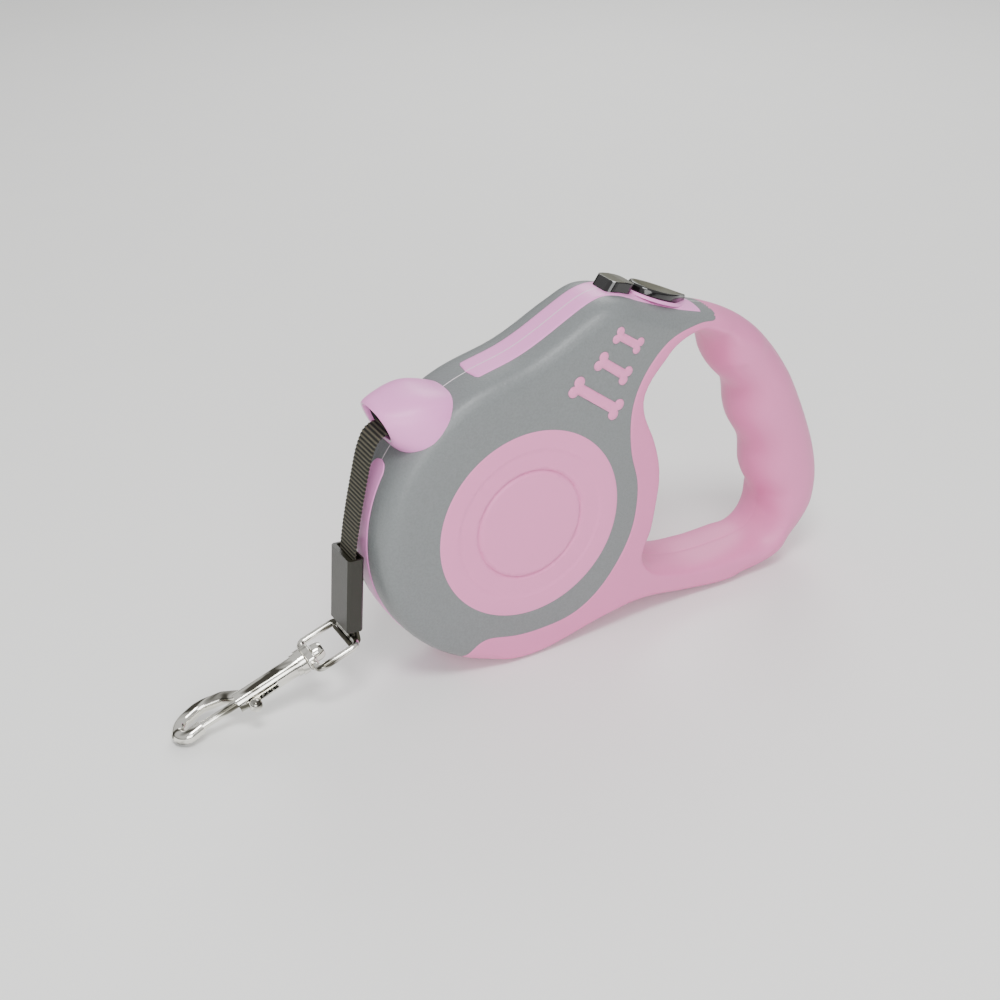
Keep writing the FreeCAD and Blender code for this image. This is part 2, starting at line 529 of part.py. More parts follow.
snap = snap.cut(Part.makeCylinder(R_BOLT + 0.1, 60, V(S0 + 5, 0, 0), V(1, 0, 0)).common(Part.makeBox(S1 + 12.7 - S0, 20, 20, V(S0, -10, -10))))
snap = snap.cut(Part.makeBox(10.6, 6, 2.4, V(S1 - 13.4, -7, -1.2))).cut(Part.makeCylinder(1.6, 12, V(EYE_L - 5, 0, 0), V(1, 0, 0)))
hook_body = one(at_snap(snap.removeSplitter()), "hook_body")
stud_s = S1 - 4.4
bolt_rod = one(at_snap(Part.makeCylinder(R_BOLT, S1 + 12.4 - (stud_s - 2.5), V(stud_s - 2.5, 0, 0), V(1, 0, 0))), "bolt_rod")
knob = Part.makeCylinder(1.0, 5.0, V(stud_s, -R_BOLT + 0.3, 0), V(0, -1, 0)).fuse(Part.makeSphere(2.1, V(stud_s, -5.6, 0)))
thumb_stud = one(at_snap(knob.cut(Part.makeCylinder(R_BOLT, 30, V(stud_s - 9, 0, 0), V(1, 0, 0))).removeSplitter()), "thumb_stud")
spring_room = stud_s - 2.5 - (S0 + 5.0)
bolt_spring = helix(0.95, (spring_room - 1.2) / 6, 6, 0.25, V(0, 0, 0), V(1, 0, 0))
bolt_spring.Placement = FreeCAD.Placement(V(S0 + 5.6, 0, 0), FreeCAD.Rotation(V(0, 0, 1), V(1, 0, 0)))
bolt_spring = at_snap(bolt_spring)

# ---------------------------------------------------------------- small pieces in the casing
guide_pins = pins

parts = {
    "shell_left": [shell_left],
    "shell_right": [shell_right],
    "grip_left": [grip_left],
    "grip_right": [grip_right],
    "nose_cap": [cut_all(nose_cap, *guide_pins)],
    "top_strip_left": [top_strip],
    "top_strip_right": [mirror(top_strip)],
    "front_strip_left": [front_strip],
    "front_strip_right": [mirror(front_strip)],
    "medallion_left": [disc],
    "medallion_right": [mirror(disc)],
    "bones_left": bones,
    "bones_right": [mirror(b) for b in bones],
    "axle": [axle],
    "spring_arbor": [arbor],
    "power_spring": [power_spring],
    "guide_pins": guide_pins,
    "case_screws": screws,
    "inner_tape": [inner_tape],
    "spring_ledge": [spring_ledge],
    "brake_spring": [brake_spring],
    "reel": [reel],
    "reel_flange": [reel_flange],
    "spring_case": [spring_case],
    "spring_cover": [spring_cover],
    "wound_tape": [wound_tape],
    "brake_pad": [brake_pad],
    "brake_plunger": [plunger],
    "lock_button": [lock_button],
    "lock_catch": [lock_catch],
    "tape": [tape],
    "end_loop": [end_loop],
    "tape_sleeve": [sleeve],
    "eye_ring": [eye_ring],
    "hook_body": [hook_body],
    "swivel_rivet": [swivel_rivet],
    "bolt_rod": [bolt_rod],
    "thumb_stud": [thumb_stud],
    "bolt_spring": [bolt_spring],
}
# the frame's origin: under the middle of the casing and handle, on the resting plane
ends = [s.optimalBoundingBox() for n in ("shell_left", "shell_right", "grip_left", "grip_right", "nose_cap") for s in parts[n]]
mid_x = (min(b.XMin for b in ends) + max(b.XMax for b in ends)) / 2
low_z = min(b.ZMin for b in ends)
print("origin shift", round(-mid_x, 4), round(-low_z, 4))
for name, solids in parts.items():
    shape = solids[0] if len(solids) == 1 else Part.makeCompound(solids)
    shape = shape.copy()
    shape.translate(V(-mid_x, 0, -low_z))
    ok = all(s.isValid() and s.Volume > 0 and s.ShapeType == "Solid" for s in shape.Solids) and len(shape.Solids) == len(solids)
    print(("ok  " if ok else "BAD ") + name, len(shape.Solids), [round(s.Volume, 1) for s in shape.Solids][:6])
    shape.exportStep("parts/" + name + ".step")
    back = Part.Shape()
    back.read("parts/" + name + ".step")
    if len(back.Solids) != len(solids) or abs(back.Volume - shape.Volume) > 0.01 * shape.Volume:
        print("BAD on reading back:", name, len(back.Solids), round(back.Volume, 1))
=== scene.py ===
import bpy
import json
import math
import numpy as np
from mathutils import Matrix, Vector
from mathutils.geometry import delaunay_2d_cdt
from mathutils.kdtree import KDTree


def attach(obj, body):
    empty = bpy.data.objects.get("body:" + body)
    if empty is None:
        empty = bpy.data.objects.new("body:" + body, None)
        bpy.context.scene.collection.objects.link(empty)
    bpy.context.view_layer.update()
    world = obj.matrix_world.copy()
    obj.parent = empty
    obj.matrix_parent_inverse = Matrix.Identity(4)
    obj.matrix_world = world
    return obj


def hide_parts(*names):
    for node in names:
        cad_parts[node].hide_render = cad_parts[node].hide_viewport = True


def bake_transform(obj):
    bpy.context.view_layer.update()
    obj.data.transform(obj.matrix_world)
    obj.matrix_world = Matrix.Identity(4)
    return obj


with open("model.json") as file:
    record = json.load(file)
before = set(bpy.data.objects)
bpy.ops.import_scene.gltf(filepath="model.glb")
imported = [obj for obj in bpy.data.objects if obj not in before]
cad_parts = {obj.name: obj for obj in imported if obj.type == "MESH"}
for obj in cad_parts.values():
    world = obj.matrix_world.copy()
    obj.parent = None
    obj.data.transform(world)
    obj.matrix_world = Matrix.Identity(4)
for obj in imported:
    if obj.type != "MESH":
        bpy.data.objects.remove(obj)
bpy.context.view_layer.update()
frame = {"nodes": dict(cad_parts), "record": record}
record = frame["record"]

# ------------------------------------------------------------------ camera, floor, light
cam_data = bpy.data.cameras.new("camera")
cam_data.lens, cam_data.sensor_width = 57.6, 36.0
cam = bpy.data.objects.new("camera", cam_data)
bpy.context.scene.collection.objects.link(cam)
cx, cy, cz = Vector((0.8695, -0.4935, -0.0213)), Vector((0.2588, 0.4184, 0.8706)), Vector((-0.4207, -0.7625, 0.4914))
cz.normalize()
cx = (cx - cz * cx.dot(cz)).normalized()
cy = cz.cross(cx)
place = Matrix((cx, cy, cz)).transposed().to_4x4()
place.translation = Vector((-0.2519, -0.3872, 0.3020))
cam.matrix_world = place
bpy.context.scene.camera = cam


def link(ob):
    bpy.context.scene.collection.objects.link(ob)
    return ob


def light(name, at, target, size, power, tint=(1, 1, 1)):
    d = bpy.data.lights.new(name, "AREA")
    d.shape, d.size, d.size_y, d.energy, d.color = "RECTANGLE", size[0], size[1], power, tint
    o = link(bpy.data.objects.new(name, d))
    o.location = at
    o.rotation_euler = (Vector(target) - Vector(at)).to_track_quat("-Z", "Y").to_euler()
    return o


light("key", (-0.22, -0.34, 0.82), (-0.02, 0, 0.06), (0.30, 0.22), 4.6)
light("fill", (-0.55, -1.1, 0.60), (-0.02, 0, 0.05), (0.9, 0.7), 10.5)
light("rear", (0.5, 0.7, 0.7), (0, 0, 0.06), (0.5, 0.5), 4.0)
world = bpy.data.worlds.new("studio")
bpy.context.scene.world = world
world.use_nodes = True
wn, wl = world.node_tree.nodes, world.node_tree.links
bg = next(n for n in wn if n.type == "BACKGROUND")
bg.inputs[1].default_value = 0.74
tc, sep, ramp = wn.new("ShaderNodeTexCoord"), wn.new("ShaderNodeSeparateXYZ"), wn.new("ShaderNodeValToRGB")
wl.new(tc.outputs["Generated"], sep.inputs[0])
wl.new(sep.outputs["Z"], ramp.inputs[0])
e = ramp.color_ramp.elements
e[0].position, e[0].color = 0.0, (0.03, 0.03, 0.03, 1)
e[1].position, e[1].color = 1.0, (1, 1, 1, 1)
for p, v in ((0.10, 0.06), (0.24, 0.9)):
    k = ramp.color_ramp.elements.new(p)
    k.color = (v, v, v * 0.99, 1)
wl.new(ramp.outputs[0], bg.inputs[0])


# ------------------------------------------------------------------ materials
def lin(c):
    return tuple(((v / 255) / 12.92 if v / 255 <= 0.04045 else (((v / 255) + 0.055) / 1.055) ** 2.4) for v in c)


def material(name, rgb, rough, grain=900.0, bump=0.05, spread=0.06, metal=0.0, rough_spread=0.08, cloud=25.0, depth=0.0002,
             spec=0.5, coat=0.0, speckle=0.0):
    m = bpy.data.materials.new(name)
    m.use_nodes = True
    n, l = m.node_tree.nodes, m.node_tree.links
    b = next(x for x in n if x.type == "BSDF_PRINCIPLED")
    base = lin(rgb)
    co = n.new("ShaderNodeTexCoord")
    soft = n.new("ShaderNodeTexNoise")
    soft.inputs["Scale"].default_value, soft.inputs["Detail"].default_value = cloud, 4.0
    fine = n.new("ShaderNodeTexNoise")
    fine.inputs["Scale"].default_value, fine.inputs["Detail"].default_value = grain, 3.0
    for t in (soft, fine):
        l.new(co.outputs["Object"], t.inputs["Vector"])
    mix = n.new("ShaderNodeMix")
    mix.data_type = "RGBA"
    mix.inputs["A"].default_value = (*[v * (1 - spread) for v in base], 1)
    mix.inputs["B"].default_value = (*[min(1, v * (1 + spread)) for v in base], 1)
    l.new(soft.outputs["Fac"], mix.inputs["Factor"])
    colour = mix.outputs["Result"]
    if speckle:
        r = n.new("ShaderNodeValToRGB")
        r.color_ramp.elements[0].position, r.color_ramp.elements[0].color = 0.36, (1 - speckle,) * 3 + (1,)
        r.color_ramp.elements[1].position, r.color_ramp.elements[1].color = 0.62, (1 + speckle,) * 3 + (1,)
        l.new(fine.outputs["Fac"], r.inputs[0])
        mul = n.new("ShaderNodeMix")
        mul.data_type, mul.blend_type = "RGBA", "MULTIPLY"
        mul.inputs["Factor"].default_value = 1.0
        l.new(colour, mul.inputs["A"])
        l.new(r.outputs[0], mul.inputs["B"])
        colour = mul.outputs["Result"]
    l.new(colour, b.inputs["Base Color"])
    rr = n.new("ShaderNodeMapRange")
    rr.inputs["To Min"].default_value, rr.inputs["To Max"].default_value = max(0.02, rough - rough_spread), min(1, rough + rough_spread)
    l.new(soft.outputs["Fac"], rr.inputs["Value"])
    l.new(rr.outputs["Result"], b.inputs["Roughness"])
    bm = n.new("ShaderNodeBump")
    bm.inputs["Strength"].default_value, bm.inputs["Distance"].default_value = bump, depth
    l.new(fine.outputs["Fac"], bm.inputs["Height"])
    l.new(bm.outputs["Normal"], b.inputs["Normal"])
    b.inputs["Metallic"].default_value = metal
    b.inputs["Specular IOR Level"].default_value = spec
    b.inputs["Coat Weight"].default_value = coat
    return m


M = {
    "grey": material("grey_shell_plastic", (117, 121, 122), 0.36, 1500, 0.55, 0.03, depth=0.00022, speckle=0.05, spec=0.45),
    "pink": material("pink_grip_rubber", (222, 128, 176), 0.42, 1100, 0.16, 0.025, spec=0.4),
    "trim": material("pink_trim_rubber", (236, 150, 212), 0.36, 1100, 0.14, 0.025, spec=0.45),
    "disc": material("pink_medallion_plastic", (231, 138, 187), 0.42, 1300, 0.14, 0.02, spec=0.45),
    # pale parting line colour: a painted highlight, the catch-light along the flash line
    "seam": material("parting_line_pale", (226, 216, 222), 0.4, 900, 0.1, 0.03),
    "black": material("button_gloss_black", (20, 19, 20), 0.14, 500, 0.06, 0.12, spec=0.5, coat=0.4),
    "olive": material("button_top_olive", (84, 83, 68), 0.30, 900, 0.1, 0.05),
    # black moulding for the catch and ledge, also put inside the nose mouth as painted shade
    "inner": material("inner_moulding_black", (46, 46, 47), 0.5, 900, 0.2, 0.08),
    "acetal": material("reel_acetal_white", (206, 204, 196), 0.4, 900, 0.1, 0.04),
    "steel": material("spring_steel", (150, 151, 153), 0.28, 1200, 0.12, 0.1, metal=1.0),
    "sleeve": material("sleeve_olive_black", (30, 29, 20), 0.34, 1200, 0.2, 0.06),
    "chrome": material("polished_chrome", (222, 220, 212), 0.09, 260, 0.10, 0.06, metal=1.0, rough_spread=0.05, depth=0.0003),
}


def painted_reflection_streaks(m):
    """Dark, blurred streaks painted into the base colour: a painted reflection of a room, as a polished casting shows.
    """
    n, l = m.node_tree.nodes, m.node_tree.links
    b = next(x for x in n if x.type == "BSDF_PRINCIPLED")
    co, no, ramp = n.new("ShaderNodeTexCoord"), n.new("ShaderNodeTexNoise"), n.new("ShaderNodeValToRGB")
    mp = n.new("ShaderNodeMapping")
    mp.inputs["Scale"].default_value = (0.9, 5.0, 5.0)
    mp.inputs["Rotation"].default_value = (0.0, -0.33, 0.0)
    no.inputs["Scale"].default_value, no.inputs["Detail"].default_value, no.inputs["Distortion"].default_value = 60.0, 1.0, 0.4
    l.new(co.outputs["Object"], mp.inputs["Vector"])
    l.new(mp.outputs["Vector"], no.inputs["Vector"])
    l.new(no.outputs["Fac"], ramp.inputs[0])
    e = ramp.color_ramp.elements
    e[0].position, e[0].color = 0.36, (*lin((84, 82, 74)), 1)
    e[1].position, e[1].color = 0.52, (*lin((236, 234, 226)), 1)
    l.new(ramp.outputs[0], b.inputs["Base Color"])


# the chrome's base colour carries painted reflection streaks
painted_reflection_streaks(M["chrome"])


def tape_material():
    """Ribbed webbing: the yarn's fine twill over the ribs that are in the mesh."""
    m = material("ribbed_webbing", (58, 56, 46), 0.72, 2600, 0.5, 0.22, depth=0.0002, spec=0.3)
    return m


M["tape"] = tape_material()


def painted_rib_groove_shade(m):
    n, l = m.node_tree.nodes, m.node_tree.links
    b = next(x for x in n if x.type == "BSDF_PRINCIPLED")
    # base colour darkens where the rib height attribute is low, in the grooves between the ribs: painted shade, lighter
    # on the rib tops
    a = n.new("ShaderNodeAttribute")
    a.attribute_name = "rib"
    ramp = n.new("ShaderNodeValToRGB")
    ramp.color_ramp.elements[0].position, ramp.color_ramp.elements[0].color = 0.15, (*lin((28, 27, 24)), 1)
    ramp.color_ramp.elements[1].position, ramp.color_ramp.elements[1].color = 0.85, (*lin((86, 83, 70)), 1)
    l.new(a.outputs["Fac"], ramp.inputs[0])
    l.new(ramp.outputs[0], b.inputs["Base Color"])


M["tape_ribs"] = material("ribbed_webbing_free", (58, 56, 46), 0.72, 2600, 0.5, 0.2, depth=0.0002, spec=0.3)
painted_rib_groove_shade(M["tape_ribs"])

node_materials = {
    "shell": "grey", "grip": "pink", "nose": "trim", "top": "trim", "front": "trim", "medallion": "disc", "bones": "disc",
    "axle": "steel", "spring": "steel", "power": "steel", "guide": "steel", "case": "steel", "inner": "tape", "brake": "black",
    "lock": "black", "reel": "acetal", "wound": "tape", "tape": "tape", "end": "tape", "eye": "chrome", "hook": "chrome",
    "swivel": "chrome", "bolt": "chrome", "thumb": "chrome"}
special = {"spring_case": "acetal", "spring_cover": "acetal", "spring_ledge": "inner", "brake_plunger": "acetal", "lock_catch": "inner",
           "brake_spring": "steel", "tape_sleeve": "sleeve", "bolt_spring": "steel"}
for node, ob in frame["nodes"].items():
    key = special.get(node) or node_materials[node.split("_")[0]]
    ob.data.materials.clear()
    ob.data.materials.append(M[key])

# ------------------------------------------------------------------ floor
bpy.ops.mesh.primitive_plane_add(size=6.0, location=(0, 0, -0.0002))
floor = bpy.context.active_object
floor.name = "floor"
floor.data.materials.append(material("pale_floor", (246, 246, 244), 0.8, 40, 0.02, 0.01))

# ------------------------------------------------------------------ side profile of the casing, in mm about the medallion's centre
R, HALF_T, GROUND, BAND = 32.0, 15.0, -49.95, 6.2
c0, s0 = math.cos(math.radians(1.4)), math.sin(math.radians(1.4))
SHIFT = (-35.606, 0.0, 49.95)


def prof(points):
    return [((x * c0 + z * s0) * R, (-x * s0 + z * c0) * R) for x, z in points]


def row(x, y, z):
    return ((x + SHIFT[0]) / 1000, y / 1000, (z + SHIFT[2]) / 1000)


OUTLINE = prof([
    (-0.66, 1.47), (-0.95, 1.29), (-1.22, 1.035), (-1.42, 0.74), (-1.56, 0.36), (-1.60, 0.0), (-1.56, -0.36),
    (-1.43, -0.71), (-1.20, -1.04), (-0.90, -1.295), (-0.55, -1.47), (-0.2, -1.557), (0.14, -1.564), (0.52, -1.485),
    (0.91, -1.385), (1.28, -1.345), (1.63, -1.375), (1.95, -1.44), (2.32, -1.49), (2.72, -1.50), (3.05, -1.465),
    (3.36, -1.35), (3.62, -1.13), (3.79, -0.86), (3.84, -0.55), (3.79, -0.22), (3.68, 0.10), (3.55, 0.40),
    (3.40, 0.70), (3.22, 0.98), (3.01, 1.24), (2.78, 1.45), (2.52, 1.61), (2.22, 1.725), (1.88, 1.82), (1.52, 1.94),
    (1.19, 2.06), (0.92, 2.10), (0.62, 1.99), (0.27, 1.80), (-0.05, 1.66), (-0.36, 1.575)])
HOLE = prof([
    (1.40, -0.80), (1.475, -0.55), (1.545, -0.22), (1.575, 0.08), (1.545, 0.34), (1.47, 0.58), (1.37, 0.80), (1.33, 1.02),
    (1.43, 1.22), (1.60, 1.385), (1.80, 1.51), (2.02, 1.53), (2.21, 1.43), (2.33, 1.24), (2.40, 1.02), (2.54, 0.84),
    (2.66, 0.70), (2.70, 0.50), (2.76, 0.26), (2.87, 0.08), (2.95, -0.08), (2.98, -0.30), (3.05, -0.52), (3.14, -0.68),
    (3.17, -0.87), (3.08, -1.05), (2.86, -1.14), (2.5, -1.17), (2.1, -1.16), (1.75, -1.08), (1.52, -0.97)])
BORDER = prof([
    (-0.74, -1.33), (-0.63, -1.23), (-0.51, -1.18), (-0.34, -1.20), (-0.13, -1.24), (0.2, -1.24), (0.49, -1.19),
    (0.78, -1.02), (1.03, -0.73), (1.2, -0.40), (1.254, -0.10), (1.24, 0.19), (1.18, 0.40), (1.14, 0.65), (1.15, 0.98),
    (1.24, 1.23), (1.41, 1.46), (1.62, 1.615), (1.86, 1.67), (2.08, 1.665), (2.22, 1.68), (2.23, 1.73), (2.10, 1.79), (1.92, 1.86), (1.80, 1.96)])


def spline(points, step, closed=True):
    """Smooth curve through points, resampled at about the given step; returns points and unit tangents."""
    P = np.array(points, float)
    n = len(P)
    Q = np.roll(P, -1, 0) if closed else P[1:]
    d = np.linalg.norm(Q - P[:len(Q)], axis=1)
    A, B = np.zeros((n, n)), np.zeros((n, 2))
    for i in range(n):
        if not closed and i in (0, n - 1):
            A[i, i] = 1.0
            B[i] = (P[1] - P[0]) / d[0] if i == 0 else (P[-1] - P[-2]) / d[-1]
            continue
        h0, h1 = d[i - 1], d[i]
        j, k = (i - 1) % n, (i + 1) % n
        A[i, j], A[i, i], A[i, k] = h1, 2 * (h0 + h1), h0
        B[i] = 3 * (h1 * (P[i] - P[j]) / h0 + h0 * (P[k] - P[i]) / h1)
    m = np.linalg.solve(A, B)
    out = []
    for i in range(len(d)):
        j = (i + 1) % n
        for t in np.linspace(0, 1, 60, endpoint=False):
            h00, h10, h01, h11 = 2 * t**3 - 3 * t**2 + 1, t**3 - 2 * t**2 + t, -2 * t**3 + 3 * t**2, t**3 - t**2
            out.append(h00 * P[i] + h10 * d[i] * m[i] + h01 * P[j] + h11 * d[i] * m[j])
    out.append(P[0] if closed else P[-1])
    out = np.array(out)
    s = np.concatenate([[0], np.cumsum(np.linalg.norm(np.diff(out, axis=0), axis=1))])
    count = max(8, int(round(s[-1] / step)))
    at = np.linspace(0, s[-1], count, endpoint=False) if closed else np.linspace(0, s[-1], count)
    X = np.stack([np.interp(at, s, out[:, k]) for k in (0, 1)], 1)
    if closed:
        T = np.roll(X, -1, 0) - np.roll(X, 1, 0)
    else:
        T = np.gradient(X, axis=0)
    T /= np.linalg.norm(T, axis=1)[:, None]
    return X, T


def inside(pts, polygon):
    x, y = pts[:, 0], pts[:, 1]
    r = np.zeros(len(pts), bool)
    P = polygon
    Q = np.roll(P, -1, 0)
    for (x0, y0), (x1, y1) in zip(P, Q):
        if y0 == y1:
            continue
        c = (y0 > y) != (y1 > y)
        r ^= c & (x < (x1 - x0) * (y - y0) / (y1 - y0) + x0)
    return r


def tree(pts):
    k = KDTree(len(pts))
    for i, p in enumerate(pts):
        k.insert((p[0], p[1], 0), i)
    k.balance()
    return k


def near(k, pts):
    i, d = np.zeros(len(pts), int), np.zeros(len(pts))
    for a, p in enumerate(pts):
        _, i[a], d[a] = k.find((p[0], p[1], 0))
    return i, d


out_p, out_t = spline(OUTLINE, 1.0)
hole_p, hole_t = spline(HOLE, 0.8)
out_n = np.stack([out_t[:, 1], -out_t[:, 0]], 1)        # outward if the curve runs anticlockwise
area = 0.5 * np.sum(out_p[:, 0] * np.roll(out_p[:, 1], -1) - np.roll(out_p[:, 0], -1) * out_p[:, 1])
out_n *= np.sign(area)
area = 0.5 * np.sum(hole_p[:, 0] * np.roll(hole_p[:, 1], -1) - np.roll(hole_p[:, 0], -1) * hole_p[:, 1])
hole_n = np.stack([hole_t[:, 1], -hole_t[:, 0]], 1) * np.sign(area)   # away from the opening, into the handle


def weighted(pts, anchors):
    """Values that change smoothly between anchors (x, z, value, value...)."""
    A = np.array(anchors, float)
    A[:, :2] *= R
    d = ((pts[:, None, :] - A[None, :, :2]) ** 2).sum(2)
    w = 1 / (d + 9.0) ** 2
    return (w @ A[:, 2:]) / w.sum(1)[:, None]


# rounding of the rim: radius in the side view and how full the curve is
OUT_ROUND = [(-1.3, 1.0, 12.5, 4.4), (-1.6, 0, 13, 4.4), (-1.4, -0.8, 12.5, 4.2), (-0.8, -1.35, 8, 3.8), (0, -1.56, 3.2, 3.4), (0.8, -1.4, 3.2, 3.4),
             (1.5, -1.36, 3.6, 3.0), (2.3, -1.5, 4.2, 2.8), (3.0, -1.47, 7, 2.4), (3.6, -1.1, 12, 2.1), (3.84, -0.55, 12.5, 2.0),
             (3.6, 0.3, 12, 2.0), (3.2, 1.0, 10.5, 2.0), (2.7, 1.5, 7.5, 2.0), (2.2, 1.72, 6.5, 2.2), (1.6, 1.92, 8, 2.4),
             (0.9, 2.1, 12.5, 3.8), (0.3, 1.8, 13, 4.3), (-0.4, 1.56, 13, 4.4)]
HOLE_ROUND = [(1.4, -0.8, 2.0, 2.4), (1.57, 0.08, 2.0, 2.4), (1.37, 0.8, 2.0, 2.4), (1.45, 1.25, 2.2, 2.4), (1.8, 1.5, 3.0, 2.2),
              (2.1, 1.5, 4.0, 2.1), (2.35, 1.2, 7.0, 2.0), (2.6, 0.8, 9.5, 2.0), (2.75, 0.3, 10.5, 2.0), (2.95, -0.2, 11, 2.0),
              (3.1, -0.6, 10.0, 2.0), (3.1, -1.0, 6.0, 2.2), (2.6, -1.16, 3.2, 2.6), (2.1, -1.15, 2.6, 2.6), (1.6, -1.02, 2.2, 2.4)]
dense_o, _ = spline(OUTLINE, 0.12)
dense_h, _ = spline(HOLE, 0.12)
dense_ro, dense_rh = weighted(dense_o, OUT_ROUND), weighted(dense_h, HOLE_ROUND)
kd_o, kd_h = tree(dense_o), tree(dense_h)


def thickness(pts):
    t = np.clip((pts[:, 0] - 26) / 44, 0, 1)
    return HALF_T - 2.2 * t * t * (3 - 2 * t)


def rise(d, r, n):
    s = np.clip(d / r, 0, 1)
    return (1 - (1 - s) ** n) ** (1 / n)


def height(pts):
    io, do = near(kd_o, pts)
    ih, dh = near(kd_h, pts)
    return thickness(pts) * rise(do, dense_ro[io, 0], dense_ro[io, 1]) * rise(dh, dense_rh[ih, 0], dense_rh[ih, 1]), do, dh


# ------------------------------------------------------------------ marks on the side: border, medallion, bones, screw wells
border_p, _ = spline(BORDER, 0.9, closed=False)
border_p = border_p[:-1]
zone_poly = np.array([*border_p, (66.0, 90), (150, 90), (150, -80), (-26, -80)])


def circle(r, x=0.0, z=0.0, count=None):
    count = count or max(16, int(2 * math.pi * r / 1.1))
    return np.array([(x + r * math.cos(2 * math.pi * i / count), z + r * math.sin(2 * math.pi * i / count)) for i in range(count)])


def bone_outline(p, q, scale, grow=0.0):
    p, q = np.array(p), np.array(q)
    L = np.linalg.norm(q - p)
    u = (q - p) / L
    w = np.array((-u[1], u[0]))
    r, hw = 1.9 * scale + grow, 1.75 * scale + grow
    cp, cd = 1.75 * scale, 0.0
    pts = []
    for end, d in ((q, 1), (p, -1)):
        for k in ((1, -1) if d == 1 else (-1, 1)):
            a0 = math.atan2(hw - cp, -math.sqrt(max(0.01, r * r - (hw - cp) ** 2)))
            a1 = math.atan2(-cp, math.sqrt(max(0.01, r * r - cp * cp)))
            if a0 < a1:
                a0 += 2 * math.pi
            angles = np.linspace(a0, a1, 14)
            arc = [(cd + r * math.cos(a), cp + r * math.sin(a)) for a in angles]
            if k * d == -1:
                arc = arc[::-1]
            pts += [tuple(end + u * d * a + w * k * b) for a, b in arc]
    out = []
    for a in pts:
        if not out or math.dist(out[-1], a) > 0.12:
            out.append(a)
    return np.array(out)


BONES = [prof([(0.49, 1.355), (0.95, 1.015)]), prof([(0.76, 1.565), (1.05, 1.35)]), prof([(0.95, 1.79), (1.19, 1.63)])]
bone_polys = [bone_outline(*b, k) for b, k in zip(BONES, (1.0, 0.88, 0.76))]
SCREWS = [(39.5, -33.5), (73.5, -43.9), (104.0, -37.5), (78.2, 43.4), (10.5, 51.0)]
wells = [circle(3.1, x, z, 20) for x, z in SCREWS]

# ------------------------------------------------------------------ triangulated side, lifted to the pebble's height
verts, edges = [], []


def loop(points, closed=True):
    a = len(verts)
    verts.extend(map(tuple, points))
    k = len(points)
    edges.extend((a + i, a + (i + 1) % k) for i in range(k if closed else k - 1))


ro, rh = weighted(out_p, OUT_ROUND), weighted(hole_p, HOLE_ROUND)
TH = (0.08, 0.17, 0.27, 0.38, 0.50, 0.62, 0.75)


def rim_depth(rr, th):
    return rr[:, 0] * (1 - np.cos(th) ** (2 / rr[:, 1]))


inner_o = out_p - out_n * rim_depth(ro, TH[-1])[:, None]
inner_h = hole_p + hole_n * rim_depth(rh, TH[-1])[:, None]
loop(inner_o)
loop(inner_h)
loop(border_p, False)
MED_R = [32.0, 31.6, 25.7, 25.2, 18.9, 18.4, 17.9]
for r in MED_R:
    loop(circle(r))
for b in bone_polys:
    loop(b)
for w in wells:
    loop(w)
fixed = np.array(verts)
kd_fixed = tree(fixed)
free = []
STEPS = [0.86, 0.97, 1.08, 1.2, 1.33, 1.47]
for base, nrm, rr, sign, dens in ((out_p, out_n, ro, -1, kd_o), (hole_p, hole_n, rh, 1, kd_h)):
    for th in STEPS:
        d = rim_depth(rr, th)
        ring = base + nrm * sign * d[:, None]
        _, true = near(dens, ring)
        free.append(ring[true > d * 0.93])
gx, gz = np.meshgrid(np.arange(-54, 126, 1.35), np.arange(-52, 70, 1.17))
gx[1::2] += 0.675
free.append(np.stack([gx.ravel(), gz.ravel()], 1))
for line in (border_p,):
    t = np.gradient(line, axis=0)
    t /= np.linalg.norm(t, axis=1)[:, None]
    nn = np.stack([-t[:, 1], t[:, 0]], 1)
    for d in (-0.55, -0.28, 0.28, 0.55):
        free.append(line + nn * d)
for b in bone_polys:
    t = np.roll(b, -1, 0) - np.roll(b, 1, 0)
    t /= np.linalg.norm(t, axis=1)[:, None]
    nn = np.stack([-t[:, 1], t[:, 0]], 1)
    for d in (-0.28, 0.28):
        free.append(b + nn * d)
free = np.concatenate(free)
free = free[inside(free, inner_o) & ~inside(free, inner_h)]
_, df = near(kd_fixed, free)
free = free[df > 0.2]
# thin out points that lie on top of each other
keep, cells = [], set()
for p in free:
    c = (round(p[0] / 0.3), round(p[1] / 0.3))
    if c not in cells:
        cells.add(c)
        keep.append(tuple(p))
verts.extend(keep)
res = delaunay_2d_cdt([Vector(v) for v in verts], edges, [], 0, 1e-5)
pv = np.array([tuple(v) for v in res[0]])
tri = np.array([f for f in res[2] if len(f) == 3])
cen = pv[tri].mean(1)
ok = inside(cen, inner_o) & ~inside(cen, inner_h)
tri, cen = tri[ok], cen[ok]
H, d_out, d_hole = height(pv)
where = {}
for o, ins in enumerate(res[3]):
    for i in ins:
        where[i] = o
bd = tree(spline(BORDER, 0.15, closed=False)[0])
_, d_border = near(bd, pv)
in_zone = inside(pv, zone_poly)
radius = np.hypot(pv[:, 0], pv[:, 1])


def step(x, a, b):
    t = np.clip((x - a) / (b - a), 0, 1)
    return t * t * (3 - 2 * t)


